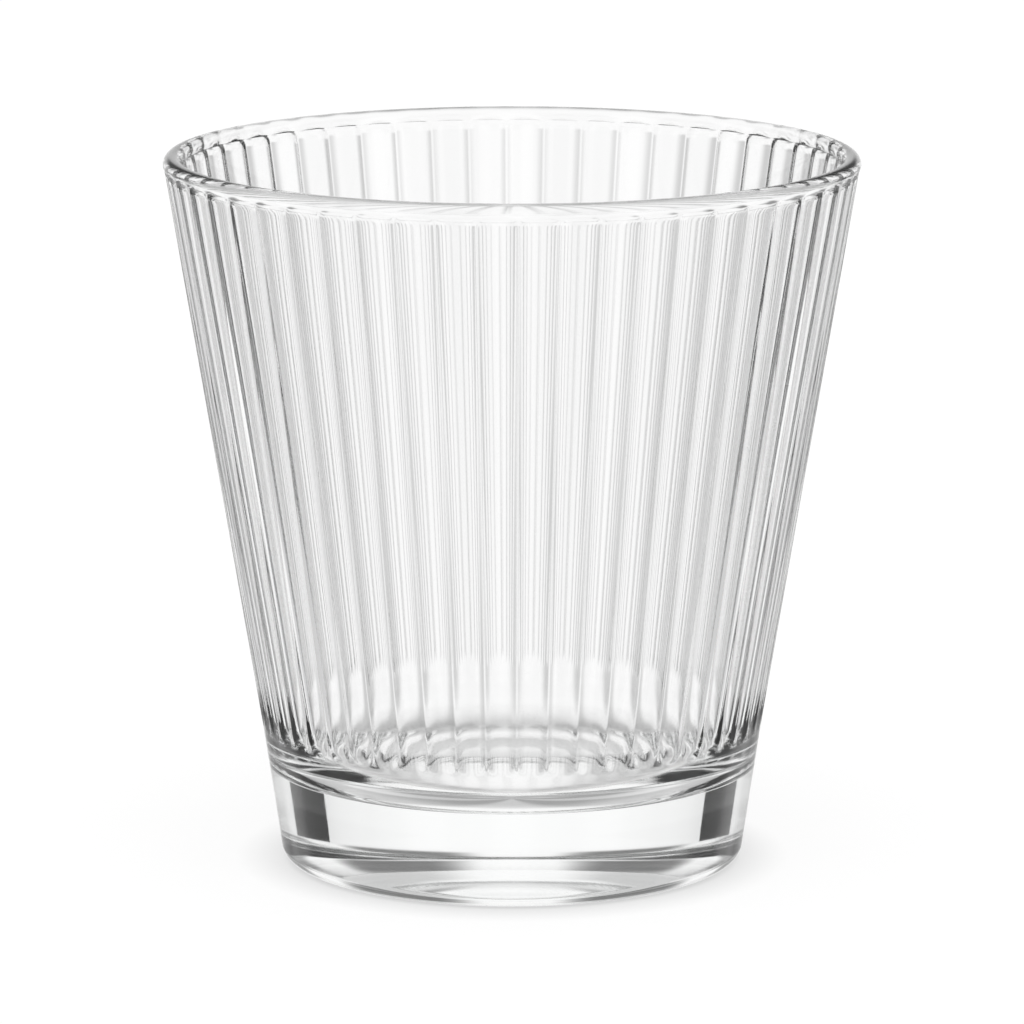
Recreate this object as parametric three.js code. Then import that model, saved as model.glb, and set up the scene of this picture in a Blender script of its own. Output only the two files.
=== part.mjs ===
import * as THREE from 'three';

// A pressed drinking glass: a plain heavy base, a tapered wall with upright flutes in its outside,
// and a plain full-round lip. Millimetres, +Z up, origin in the middle of the standing plane.

// Overall outline
const height = 90;
const rimRadius = 43.6;
const waistRadius = 31.6;
const waistHeight = 17.4;
const footRadius = 29.35;
const heelRadius = 2.2;

// Wall and lip
const rimWall = 2.2;
const waistWall = 3.2;
const lipProud = 0.1;

// Inside floor and the hollow under the foot
const floorHeight = 11.5;
const floorFillet = 8;
const standWidth = 7;
const puntHeight = 3;

// Flutes: hollow stripes with round ends, parted by narrow ridges, one of which faces the front.
// The hollow's section is a power curve, the flatter in its middle the higher the power.
const fluteCount = 54;
const fluteDepth = 0.34;
const flutePower = 3;
const ridgeWidth = 0.15;
const plainBand = 0.12;
const fluteTopRise = 1.3;
const fluteFootRise = 1.2;

// Fineness of the facets
const plainColumns = 2 * fluteCount;
const fluteSteps = 6;
const fluteEndSteps = 3;
const lipSteps = 8;
const filletSteps = 6;
const heelSteps = 4;
const puntSteps = 3;

const lipRadius = rimWall / 2 + lipProud;
const lipHeight = height - lipRadius;
const wallTopRadius = rimRadius - lipProud;

// The lip's round starts where it stands proud of the wall, and the flutes end a plain band below it
const lipStart = -Math.acos(1 - lipProud / lipRadius);
const lipEnd = Math.PI - lipStart;
const fluteTop = lipHeight + lipRadius * Math.sin(lipStart) - plainBand;

// The glass stands on a flat ring between the heel's round and the hollow
const heelCentre = footRadius - heelRadius;
const puntRadius = heelCentre - standWidth;

const frontAngle = -Math.PI / 2;

const points = [];
const triangles = [];

function addPoint(radius, angle, z) {
  points.push(radius * Math.cos(angle), radius * Math.sin(angle), z);
  return points.length / 3 - 1;
}

function addTriangle(a, b, c) {
  if (a !== b && b !== c && c !== a) triangles.push(a, b, c);
}

function lineAt(z, z0, r0, z1, r1) {
  return r0 + ((r1 - r0) * (z - z0)) / (z1 - z0);
}

// Outside of the fluted wall, along the ridges
function wallRadius(z) {
  return lineAt(z, waistHeight, waistRadius, lipHeight, wallTopRadius);
}

// Inside of the wall, carried on below the waist to where the floor's fillet takes over
function insideRadius(z) {
  return lineAt(z, waistHeight, waistRadius - waistWall, lipHeight, wallTopRadius - rimWall);
}

function plainRing(radius, z) {
  const ring = { angles: [], ids: [] };
  for (let i = 0; i < plainColumns; i += 1) {
    const angle = frontAngle + (2 * Math.PI * i) / plainColumns;
    ring.angles.push(angle);
    ring.ids.push(addPoint(radius, angle, z));
  }
  return ring;
}

function middlePoint(z) {
  return { angles: [0], ids: [addPoint(0, 0, z)] };
}

// Skin between two rings, the first one lower on the outside of the glass
function joinRings(first, second) {
  const n = first.ids.length;
  const m = second.ids.length;
  let i = 0;
  let j = 0;
  while (i < n || j < m) {
    const nextFirst = i + 1 < n ? first.angles[i + 1] : 2 * Math.PI + first.angles[0];
    const nextSecond = j + 1 < m ? second.angles[j + 1] : 2 * Math.PI + second.angles[0];
    const inStep = n === m ? i <= j : nextFirst <= nextSecond;
    if (j === m || (i < n && inStep)) {
      addTriangle(first.ids[i % n], first.ids[(i + 1) % n], second.ids[j % m]);
      i += 1;
    } else {
      addTriangle(first.ids[i % n], second.ids[(j + 1) % m], second.ids[j % m]);
      j += 1;
    }
  }
}

// One ring across all the flutes. endShare runs from 1 on the round edge of the flutes' ends
// to 0 where the hollow is whole, and endHeight gives the height for a share of the rise.
function fluteRing(endShare, endHeight, before) {
  const ring = { angles: [], ids: [] };
  const pitch = (2 * Math.PI) / fluteCount;
  for (let flute = 0; flute < fluteCount; flute += 1) {
    for (let step = 0; step <= fluteSteps; step += 1) {
      const across = -Math.cos((Math.PI * step) / fluteSteps);
      const onRidge = step === 0 || step === fluteSteps;
      const open = 1 - Math.abs(across) ** flutePower;
      const end = endShare * Math.sqrt(open);
      const z = endHeight(end);
      const hollow = fluteDepth * (open - end * end);
      const halfFlute = pitch / 2 - ridgeWidth / 2 / wallRadius(z);
      const angle = frontAngle + pitch * (flute + 0.5) + across * halfFlute;
      const shared = before && onRidge;
      const id = shared ? before.ids[ring.ids.length] : addPoint(wallRadius(z) - hollow, angle, z);
      ring.angles.push(angle);
      ring.ids.push(id);
    }
  }
  return ring;
}

function fluteFootHeight(end) {
  return waistHeight + fluteFootRise * (1 - end);
}

function fluteTopHeight(end) {
  return fluteTop - fluteTopRise * (1 - end);
}

// Rings from the middle of the underside, up the outside, over the lip and down to the floor
const rings = [middlePoint(puntHeight)];

const domeRadius = (puntRadius * puntRadius + puntHeight * puntHeight) / (2 * puntHeight);
for (let i = 1; i <= puntSteps; i += 1) {
  const r = (puntRadius * i) / puntSteps;
  const drop = domeRadius - Math.sqrt(domeRadius * domeRadius - r * r);
  rings.push(plainRing(r, i === puntSteps ? 0 : puntHeight - drop));
}

const footTilt = Math.atan2(waistRadius - footRadius, waistHeight - heelRadius);
for (let i = 0; i <= heelSteps; i += 1) {
  const turn = ((Math.PI / 2 - footTilt) * i) / heelSteps;
  const r = heelCentre + heelRadius * Math.sin(turn);
  rings.push(plainRing(r, heelRadius * (1 - Math.cos(turn))));
}

const footRings = [];
for (let i = 0; i <= fluteEndSteps; i += 1) {
  footRings.push(fluteRing(1 - i / fluteEndSteps, fluteFootHeight, footRings[i - 1]));
}
const topRings = [];
for (let i = 0; i <= fluteEndSteps; i += 1) {
  topRings.push(fluteRing(1 - i / fluteEndSteps, fluteTopHeight, topRings[i - 1]));
}
rings.push(...footRings, ...topRings.reverse());

for (let i = 0; i <= lipSteps; i += 1) {
  const turn = lipStart + ((lipEnd - lipStart) * i) / lipSteps;
  const r = rimRadius - lipRadius + lipRadius * Math.cos(turn);
  rings.push(plainRing(r, lipHeight + lipRadius * Math.sin(turn)));
}

const insideTilt = Math.atan(insideRadius(1) - insideRadius(0));
const filletHeight = floorHeight + floorFillet;
const filletCentre = insideRadius(filletHeight) - floorFillet / Math.cos(insideTilt);
for (let i = 0; i <= filletSteps; i += 1) {
  const turn = -insideTilt - ((Math.PI / 2 - insideTilt) * i) / filletSteps;
  const r = filletCentre + floorFillet * Math.cos(turn);
  rings.push(plainRing(r, filletHeight + floorFillet * Math.sin(turn)));
}
rings.push(middlePoint(floorHeight));

for (let i = 1; i < rings.length; i += 1) {
  joinRings(rings[i - 1], rings[i]);
}

const geometry = new THREE.BufferGeometry();
geometry.setAttribute('position', new THREE.Float32BufferAttribute(points, 3));
geometry.setIndex(triangles);
geometry.computeVertexNormals();

const clearGlass = new THREE.MeshStandardMaterial({ color: 0xeef3f1, roughness: 0.03, metalness: 0 });

const tumbler = new THREE.Mesh(geometry, clearGlass);
tumbler.name = 'tumbler';

const group = new THREE.Group();
group.add(tumbler);

export default group;
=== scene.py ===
import math
import bpy
import numpy as np
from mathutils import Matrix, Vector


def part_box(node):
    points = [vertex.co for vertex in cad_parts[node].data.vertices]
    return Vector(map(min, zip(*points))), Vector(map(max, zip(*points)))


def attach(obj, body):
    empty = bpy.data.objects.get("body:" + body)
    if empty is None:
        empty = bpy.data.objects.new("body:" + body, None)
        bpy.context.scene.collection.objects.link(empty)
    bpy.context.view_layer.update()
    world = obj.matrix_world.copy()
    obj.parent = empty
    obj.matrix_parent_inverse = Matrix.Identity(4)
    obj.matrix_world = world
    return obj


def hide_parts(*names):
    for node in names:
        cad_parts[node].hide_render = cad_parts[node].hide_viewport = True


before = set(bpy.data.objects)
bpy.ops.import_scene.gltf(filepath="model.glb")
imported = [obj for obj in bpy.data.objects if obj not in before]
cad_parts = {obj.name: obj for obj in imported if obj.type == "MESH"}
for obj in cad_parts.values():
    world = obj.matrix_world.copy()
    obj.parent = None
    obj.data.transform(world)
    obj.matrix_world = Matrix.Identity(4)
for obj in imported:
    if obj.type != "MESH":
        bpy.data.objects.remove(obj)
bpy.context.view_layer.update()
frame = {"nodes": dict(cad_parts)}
mm = 0.001
white = (1, 1, 1, 1)
print("frame loaded:", ", ".join(frame["nodes"]))


def toLinear(hexText):
    parts = [int(hexText[i:i + 2], 16) / 255 for i in (1, 3, 5)]
    return [p / 12.92 if p <= 0.04045 else ((p + 0.055) / 1.055) ** 2.4 for p in parts] + [1.0]


# Adds a node, sets its sockets or properties by name, and links sockets into it
def addNode(tree, kind, settings=None, links=None):
    node = tree.nodes.new(kind)
    for name, value in (settings or {}).items():
        if isinstance(name, int) or name in node.inputs:
            node.inputs[name].default_value = value
        else:
            setattr(node, name, value)
    for name, socket in (links or {}).items():
        tree.links.new(socket, node.inputs[name])
    return node


def newMaterial(name):
    material = bpy.data.materials.new(name)
    material.use_nodes = True
    material.node_tree.nodes.clear()
    return material, material.node_tree


def newObject(name, points, faces, material):
    mesh = bpy.data.meshes.new(name)
    mesh.from_pydata([tuple(p) for p in points], [], faces)
    mesh.materials.append(material)
    mesh.validate()
    item = bpy.data.objects.new(name, mesh)
    bpy.context.scene.collection.objects.link(item)
    return item


# Soda-lime glass, pressed in a mould and fire-polished: clear and colourless at the wall, faintly
# green-grey where it is thick, with the soft ripple that a cooled mould leaves on its skin
sodaLime = {
    "ior": 1.52,
    "depthTint": "#e9f2ee",
    "tintDensity": 1.6,       # per metre
    "rippleSize": 9.0,        # mm between swells
    "rippleHeight": 0.006,    # mm
    "hazeSize": 2.5,          # mm, faint wipe marks
    "clearBelow": 0.45,       # noise level under which the skin is at its clearest
    "hazyAbove": 0.75,
    "leastHaze": 0.04,
    "mostHaze": 0.07,
}


def pressedSodaLimeGlass():
    material, tree = newMaterial("pressedSodaLimeGlass")
    place = addNode(tree, "ShaderNodeTexCoord").outputs["Object"]
    ripple = addNode(tree, "ShaderNodeTexNoise",
                     {"Scale": 1 / (sodaLime["rippleSize"] * mm), "Detail": 1.0}, {"Vector": place})
    skin = addNode(tree, "ShaderNodeBump",
                   {"Strength": 1.0, "Distance": sodaLime["rippleHeight"] * mm},
                   {"Height": ripple.outputs["Fac"]})
    wipes = addNode(tree, "ShaderNodeTexNoise",
                    {"Scale": 1 / (sodaLime["hazeSize"] * mm), "Detail": 2.0}, {"Vector": place})
    haze = addNode(tree, "ShaderNodeMapRange",
                   {"From Min": sodaLime["clearBelow"], "From Max": sodaLime["hazyAbove"],
                    "To Min": sodaLime["leastHaze"], "To Max": sodaLime["mostHaze"]},
                   {"Value": wipes.outputs["Fac"]})
    glass = addNode(tree, "ShaderNodeBsdfPrincipled",
                    {"IOR": sodaLime["ior"], "Transmission Weight": 1.0, "Base Color": white},
                    {"Roughness": haze.outputs["Result"], "Normal": skin.outputs["Normal"]})
    depth = addNode(tree, "ShaderNodeVolumeAbsorption",
                    {"Color": toLinear(sodaLime["depthTint"]), "Density": sodaLime["tintDensity"]})
    addNode(tree, "ShaderNodeOutputMaterial", {},
            {"Surface": glass.outputs["BSDF"], "Volume": depth.outputs["Volume"]})
    return material


# The tumbler, in millimetres; its height and rim come from the solid
tumbler = {
    "waistRadius": 31.6,
    "waistHeight": 17.4,
    "footRadius": 29.35,
    "heelRadius": 2.2,
    "rimWall": 2.2,
    "waistWall": 3.2,
    "lipProud": 0.1,
    "floorHeight": 11.5,
    "floorFillet": 8.0,
    "standWidth": 7.0,
    "puntHeight": 3.0,
    "fluteCount": 54,
    "fluteDepth": 0.34,
    "flutePower": 3,          # power of the section: flat in the middle, steep at the ridges
    "ridgeWidth": 0.15,
    "edgeSoftness": 0.12,     # rounding of the ridges by the fire polish, as a share of the hollow
    "fluteTopDrop": 0.12,     # below the lip's widest line
    "fluteTopRise": 1.4,
    "fluteFootRise": 2.6,
    "columns": 14,            # mesh columns across a flute
    "rings": {                # mesh rings on each stretch of the outline
        "punt": 10, "heel": 10, "foot": 4, "fluteFoot": 24, "wall": 7, "fluteTop": 10,
        "lipOutside": 10, "lipInside": 20, "inside": 7, "fillet": 18, "floor": 4,
    },
    "endMargin": 0.2,         # how far the close rings run on past a flute's end
    "footMargin": 1.0,        # how far the plain rings keep off the heel and the waist
    "lipMargin": 2.0,
    "filletMargin": 3.0,
}


def arcOf(centre, radius, start, end, steps):
    return [(centre[0] + radius * math.cos(t), centre[1] + radius * math.sin(t))
            for t in np.linspace(start, end, steps + 1)]


def buildTumbler(form):
    low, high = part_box("tumbler")
    height = high.z / mm
    rimRadius = (high.x - low.x) / 2 / mm
    rings = form["rings"]
    heelRadius = form["heelRadius"]
    lipRadius = form["rimWall"] / 2 + form["lipProud"]
    lipHeight = height - lipRadius
    lipCentre = (rimRadius - lipRadius, lipHeight)
    wallTop = rimRadius - form["lipProud"]
    lipStart = -math.acos(1 - form["lipProud"] / lipRadius)
    lipFoot = lipHeight + lipRadius * math.sin(lipStart)
    fluteTop = lipHeight - form["fluteTopDrop"]
    fluteFoot = form["waistHeight"]
    heelCentre = form["footRadius"] - heelRadius
    puntRadius = heelCentre - form["standWidth"]

    def outside(z):
        return np.interp(z, [heelRadius, fluteFoot, lipHeight],
                         [form["footRadius"], form["waistRadius"], wallTop])

    def inside(z):
        atWaist = form["waistRadius"] - form["waistWall"]
        slope = (wallTop - form["rimWall"] - atWaist) / (lipHeight - fluteFoot)
        return atWaist + slope * (z - fluteFoot)

    # outline from under the foot, up the outside, over the lip and down to the floor
    domeRadius = (puntRadius ** 2 + form["puntHeight"] ** 2) / (2 * form["puntHeight"])
    outline = []
    for r in np.linspace(0, puntRadius, rings["punt"] + 1)[1:]:
        outline.append((r, form["puntHeight"] - domeRadius + math.sqrt(domeRadius ** 2 - r ** 2)))
    footTilt = math.atan2(form["waistRadius"] - form["footRadius"], fluteFoot - heelRadius)
    outline += arcOf((heelCentre, heelRadius), heelRadius, -math.pi / 2, -footTilt, rings["heel"])
    fluteStart = len(outline)
    wallFoot = fluteFoot + form["fluteFootRise"] + form["endMargin"]
    wallEnd = fluteTop - form["fluteTopRise"] - form["endMargin"]
    heights = np.concatenate([
        np.linspace(heelRadius + form["footMargin"], fluteFoot - form["footMargin"], rings["foot"]),
        np.linspace(fluteFoot - 2 * form["endMargin"], wallFoot, rings["fluteFoot"]),
        np.linspace(wallFoot, wallEnd, rings["wall"] + 2)[1:-1],
        np.linspace(wallEnd, lipFoot, rings["fluteTop"] + 1)[:-1]])
    outline += [(outside(z), z) for z in heights]
    outline += arcOf(lipCentre, lipRadius, lipStart, 0, rings["lipOutside"])
    fluteEnd = len(outline)
    outline += arcOf(lipCentre, lipRadius, 0, math.pi - lipStart, rings["lipInside"])[1:]
    insideTilt = math.atan(inside(1) - inside(0))
    filletHeight = form["floorHeight"] + form["floorFillet"]
    filletCentre = inside(filletHeight) - form["floorFillet"] / math.cos(insideTilt)
    insideTop = lipHeight - form["lipMargin"]
    insideFoot = filletHeight + form["filletMargin"]
    outline += [(inside(z), z) for z in np.linspace(insideTop, insideFoot, rings["inside"])]
    outline += arcOf((filletCentre, filletHeight), form["floorFillet"], -insideTilt, -math.pi / 2,
                     rings["fillet"])
    outline += [(r, form["floorHeight"]) for r in np.linspace(filletCentre, 0, rings["floor"] + 2)[1:-1]]

    # each ring of points, drawn in where the flutes are
    pitch = 2 * math.pi / form["fluteCount"]
    middles = (np.arange(form["fluteCount"]) + 0.5) * pitch - math.pi / 2    # a ridge faces the front
    places = np.sin(np.linspace(-1, 1, form["columns"] + 1)[:-1] * math.pi / 2)
    points = []
    for ring, (radius, z) in enumerate(outline):
        halfFlute = pitch / 2 - form["ridgeWidth"] / 2 / outside(max(z, fluteFoot))
        across = places * pitch / 2 / halfFlute
        angles = (middles[:, None] + across * halfFlute).ravel()
        reach = np.full(len(angles), radius)
        if fluteStart <= ring < fluteEnd:
            topShare = max(0, 1 - (fluteTop - z) / form["fluteTopRise"])
            footShare = max(0, 1 - (z - fluteFoot) / form["fluteFootRise"])
            hollow = 1 - np.abs(across) ** form["flutePower"] - topShare ** 2 - footShare ** 2
            hollow = (hollow + np.sqrt(hollow ** 2 + form["edgeSoftness"] ** 2)) / 2
            reach = reach - form["fluteDepth"] * np.tile(hollow, form["fluteCount"])
        level = np.full(len(angles), z)
        points.append(np.stack([reach * np.cos(angles), reach * np.sin(angles), level], 1))
    columns = len(points[0])
    last = (len(points) - 1) * columns
    points.append(np.array([[0, 0, form["puntHeight"]], [0, 0, form["floorHeight"]]]))

    here = np.arange(columns)
    after = np.roll(here, -1)
    faces = []
    for a in range(0, last, columns):
        b = a + columns
        faces += np.stack([a + here, a + after, b + after, b + here], 1).tolist()
    under = last + columns
    floor = under + 1
    for i, j in zip(here.tolist(), after.tolist()):
        faces.append([under, j, i])
    for i, j in zip(here.tolist(), after.tolist()):
        faces.append([floor, last + i, last + j])
    piece = newObject("flutedTumbler", np.concatenate(points) * mm, faces, pressedSodaLimeGlass())
    piece.data.shade_smooth()
    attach(piece, "root")
    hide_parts("tumbler")
    print("tumbler built:", len(piece.data.polygons), "faces")


# Sweep paper, matte: plain white with a fine tooth, and a painted contact shade that greys its white glow
# where the foot stands close over it
sweepPaper = {
    "colour": "#fbfbfb",
    "size": 40.0,             # metres
    "grainSize": 4.0,         # mm
    "grainHeight": 0.02,      # mm
    "grainStrength": 0.05,
    "shown": 0.9,             # share of the white that is glow: the lamp's shade leaves it alone, and the painted close shade greys it
    "shadeReach": 6.2,        # mm, reach of the painted close shade round the foot
    "closeShade": 0.33,
}


def paperFloor():
    material, tree = newMaterial("matteSweepPaper")
    place = addNode(tree, "ShaderNodeTexCoord").outputs["Object"]
    grain = addNode(tree, "ShaderNodeTexNoise",
                    {"Scale": 1 / (sweepPaper["grainSize"] * mm), "Detail": 3.0}, {"Vector": place})
    skin = addNode(tree, "ShaderNodeBump",
                   {"Strength": sweepPaper["grainStrength"], "Distance": sweepPaper["grainHeight"] * mm},
                   {"Height": grain.outputs["Fac"]})
    paper = addNode(tree, "ShaderNodeBsdfDiffuse", {"Color": toLinear(sweepPaper["colour"])},
                    {"Normal": skin.outputs["Normal"]})
    # Painted shade: an ambient-occlusion mask darkens the paper's glow close round the foot, and no lamp
    # casts it
    close = addNode(tree, "ShaderNodeAmbientOcclusion", {"Distance": sweepPaper["shadeReach"] * mm})
    paintedShade = addNode(tree, "ShaderNodeMapRange", {"To Min": 1 - sweepPaper["closeShade"]},
                    {"Value": close.outputs["AO"]})
    glow = addNode(tree, "ShaderNodeEmission", {"Color": white}, {"Strength": paintedShade.outputs["Result"]})
    path = addNode(tree, "ShaderNodeLightPath")
    mirrored = addNode(tree, "ShaderNodeMath", {"operation": "MAXIMUM"},
                       {0: path.outputs["Is Camera Ray"], 1: path.outputs["Is Glossy Ray"]})
    sight = addNode(tree, "ShaderNodeMath", {"operation": "MAXIMUM"},
                    {0: mirrored.outputs[0], 1: path.outputs["Is Transmission Ray"]})
    share = addNode(tree, "ShaderNodeMath", {"operation": "MULTIPLY", 1: sweepPaper["shown"]},
                    {0: sight.outputs[0]})
    both = addNode(tree, "ShaderNodeMixShader", {},
                   {"Fac": share.outputs[0], 1: paper.outputs[0], 2: glow.outputs[0]})
    addNode(tree, "ShaderNodeOutputMaterial", {}, {"Surface": both.outputs[0]})
    half = sweepPaper["size"] / 2
    corners = [(-half, -half, 0), (half, -half, 0), (half, half, 0), (-half, half, 0)]
    floor = newObject("sweepFloor", corners, [(0, 1, 2, 3)], material)
    floor.visible_transmission = False    # the glass takes its light from the panels, not from the paper
    floor.visible_glossy = False


# Flock on card, a dark grey without shine, which the foot shows as its dark patches
greyFlock = {
    "colour": "#262626",
    "reach": 2.0,             # metres from the glass
    "turns": (39.5, 57.0),    # degrees round from straight behind
    "height": 0.13,           # metres above and below the table
}


def sideFlags():
    material, tree = newMaterial("greyFlock")
    cloth = addNode(tree, "ShaderNodeBsdfDiffuse", {"Color": toLinear(greyFlock["colour"])})
    addNode(tree, "ShaderNodeOutputMaterial", {}, {"Surface": cloth.outputs[0]})
    for side, name in ((-1, "leftFlag"), (1, "rightFlag")):
        corners = []
        for turn in greyFlock["turns"]:
            x = side * greyFlock["reach"] * math.sin(math.radians(turn))
            y = greyFlock["reach"] * math.cos(math.radians(turn))
            corners += [(x, y, -greyFlock["height"]), (x, y, greyFlock["height"])]
        flag = newObject(name, corners, [(0, 2, 3, 1)], material)
        flag.visible_camera = False
        flag.visible_diffuse = False
        flag.visible_shadow = False


# Light from all round, which the glass bends into its stripes: bright panels with soft gaps between them.
# Each ramp has the degrees where it starts and ends, and the light before and after.
studioLight = {
    "panels": 8,                            # one of them straight behind the glass
    "upperPower": 3.5,                      # deepens the gaps above the table
    "ramps": {
        "panel": (5.0, 15.0, 1.0, 0.62),    # from a panel's middle into the gap beside it
        "even": (14.0, 50.0, 1.0, 0.8),     # round from straight behind, where no gaps are
        "level": (-7.9, -5.9, 0.0, 1.0),    # height where the gaps give way to the even light
        "upper": (3.0, 11.0, 0.0, 1.0),     # height where the deeper gaps come in
        "fade": (32.0, 50.0, 1.0, 0.0),     # height where they fade
        "under": (-66.0, -33.0, 0.58, 1.0),
        "over": (16.0, 74.0, 1.0, 0.6),
    },
    "sunLevel": 2.4,
    "sunSpread": 45.0,                      # degrees
    "sunTilt": 12.0,                        # degrees from overhead, towards the front
    "bounces": 16,
    "mirrorBounces": 6,                     # reflections inside the glass count too
}


def studioWorld():
    world = bpy.data.worlds.new("studioWorld")
    world.use_nodes = True
    tree = world.node_tree
    tree.nodes.clear()
    way = addNode(tree, "ShaderNodeTexCoord").outputs["Generated"]
    parts = addNode(tree, "ShaderNodeSeparateXYZ", {}, {"Vector": way})
    aside = addNode(tree, "ShaderNodeMath", {"operation": "ABSOLUTE"}, {0: parts.outputs["X"]})
    turn = addNode(tree, "ShaderNodeMath", {"operation": "ARCTAN2"},
                   {0: aside.outputs[0], 1: parts.outputs["Y"]})
    offPanel = addNode(tree, "ShaderNodeMath", {"operation": "PINGPONG", 1: math.pi / studioLight["panels"]},
                       {0: turn.outputs[0]})
    rise = addNode(tree, "ShaderNodeMath", {"operation": "ARCSINE"}, {0: parts.outputs["Z"]})

    sources = {"panel": offPanel, "even": turn}    # the other ramps go by height
    ramps = {}
    for name, (start, end, before, after) in studioLight["ramps"].items():
        ramp = addNode(tree, "ShaderNodeMapRange",
                       {"interpolation_type": "SMOOTHSTEP", "From Min": math.radians(start),
                        "From Max": math.radians(end), "To Min": before, "To Max": after},
                       {"Value": sources.get(name, rise).outputs[0]})
        ramps[name] = ramp.outputs["Result"]

    below = addNode(tree, "ShaderNodeMix", {},
                    {"Factor": ramps["level"], "A": ramps["panel"], "B": ramps["even"]})
    deepGaps = addNode(tree, "ShaderNodeMath", {"operation": "POWER", 1: studioLight["upperPower"]},
                       {0: ramps["panel"]})
    above = addNode(tree, "ShaderNodeMath", {"operation": "MULTIPLY"}, {0: ramps["upper"], 1: ramps["fade"]})
    around = addNode(tree, "ShaderNodeMix", {},
                     {"Factor": above.outputs[0], "A": below.outputs[0], "B": deepGaps.outputs[0]})
    ends = addNode(tree, "ShaderNodeMath", {"operation": "MULTIPLY"}, {0: ramps["under"], 1: ramps["over"]})
    strength = addNode(tree, "ShaderNodeMath", {"operation": "MULTIPLY"},
                       {0: around.outputs[0], 1: ends.outputs[0]})
    light = addNode(tree, "ShaderNodeBackground", {"Color": white}, {"Strength": strength.outputs[0]})
    addNode(tree, "ShaderNodeOutputWorld", {}, {"Surface": light.outputs[0]})
    bpy.context.scene.world = world


# Soft lamp for the shade on the paper, which the glass itself doesn't mirror
def overheadLight():
    lamp = bpy.data.lights.new("overheadLight", "SUN")
    lamp.energy = studioLight["sunLevel"]
    lamp.angle = math.radians(studioLight["sunSpread"])
    holder = bpy.data.objects.new("overheadLight", lamp)
    holder.rotation_euler = (math.radians(studioLight["sunTilt"]), 0, 0)
    holder.visible_glossy = False
    holder.visible_transmission = False
    bpy.context.scene.collection.objects.link(holder)


# The photograph's view, a long lens a little above the glass
view = {
    "distance": 860.0,        # mm
    "height": 214.2,          # mm
    "dip": 0.1951,            # radians below level
    "sensor": 36.0,           # mm
    "lens": 244.3,            # mm
    "nearest": 10.0,          # mm
    "turn": 0.0175,           # radians round the glass, towards its left side
}


def photoCamera():
    data = bpy.data.cameras.new("photoCamera")
    data.sensor_width = view["sensor"]
    data.lens = view["lens"]
    data.clip_start = view["nearest"] * mm
    camera = bpy.data.objects.new("photoCamera", data)
    x = -view["distance"] * math.sin(view["turn"])
    y = -view["distance"] * math.cos(view["turn"])
    camera.location = (x * mm, y * mm, view["height"] * mm)
    camera.rotation_euler = (math.pi / 2 - view["dip"], 0, -view["turn"])
    bpy.context.scene.collection.objects.link(camera)
    bpy.context.scene.camera = camera


photoCamera()
buildTumbler(tumbler)
paperFloor()
sideFlags()
studioWorld()
overheadLight()
bpy.context.scene.view_settings.view_transform = "Standard"
bpy.context.scene.cycles.max_bounces = studioLight["bounces"]
bpy.context.scene.cycles.transmission_bounces = studioLight["bounces"]
bpy.context.scene.cycles.glossy_bounces = studioLight["mirrorBounces"]
print("studio ready")
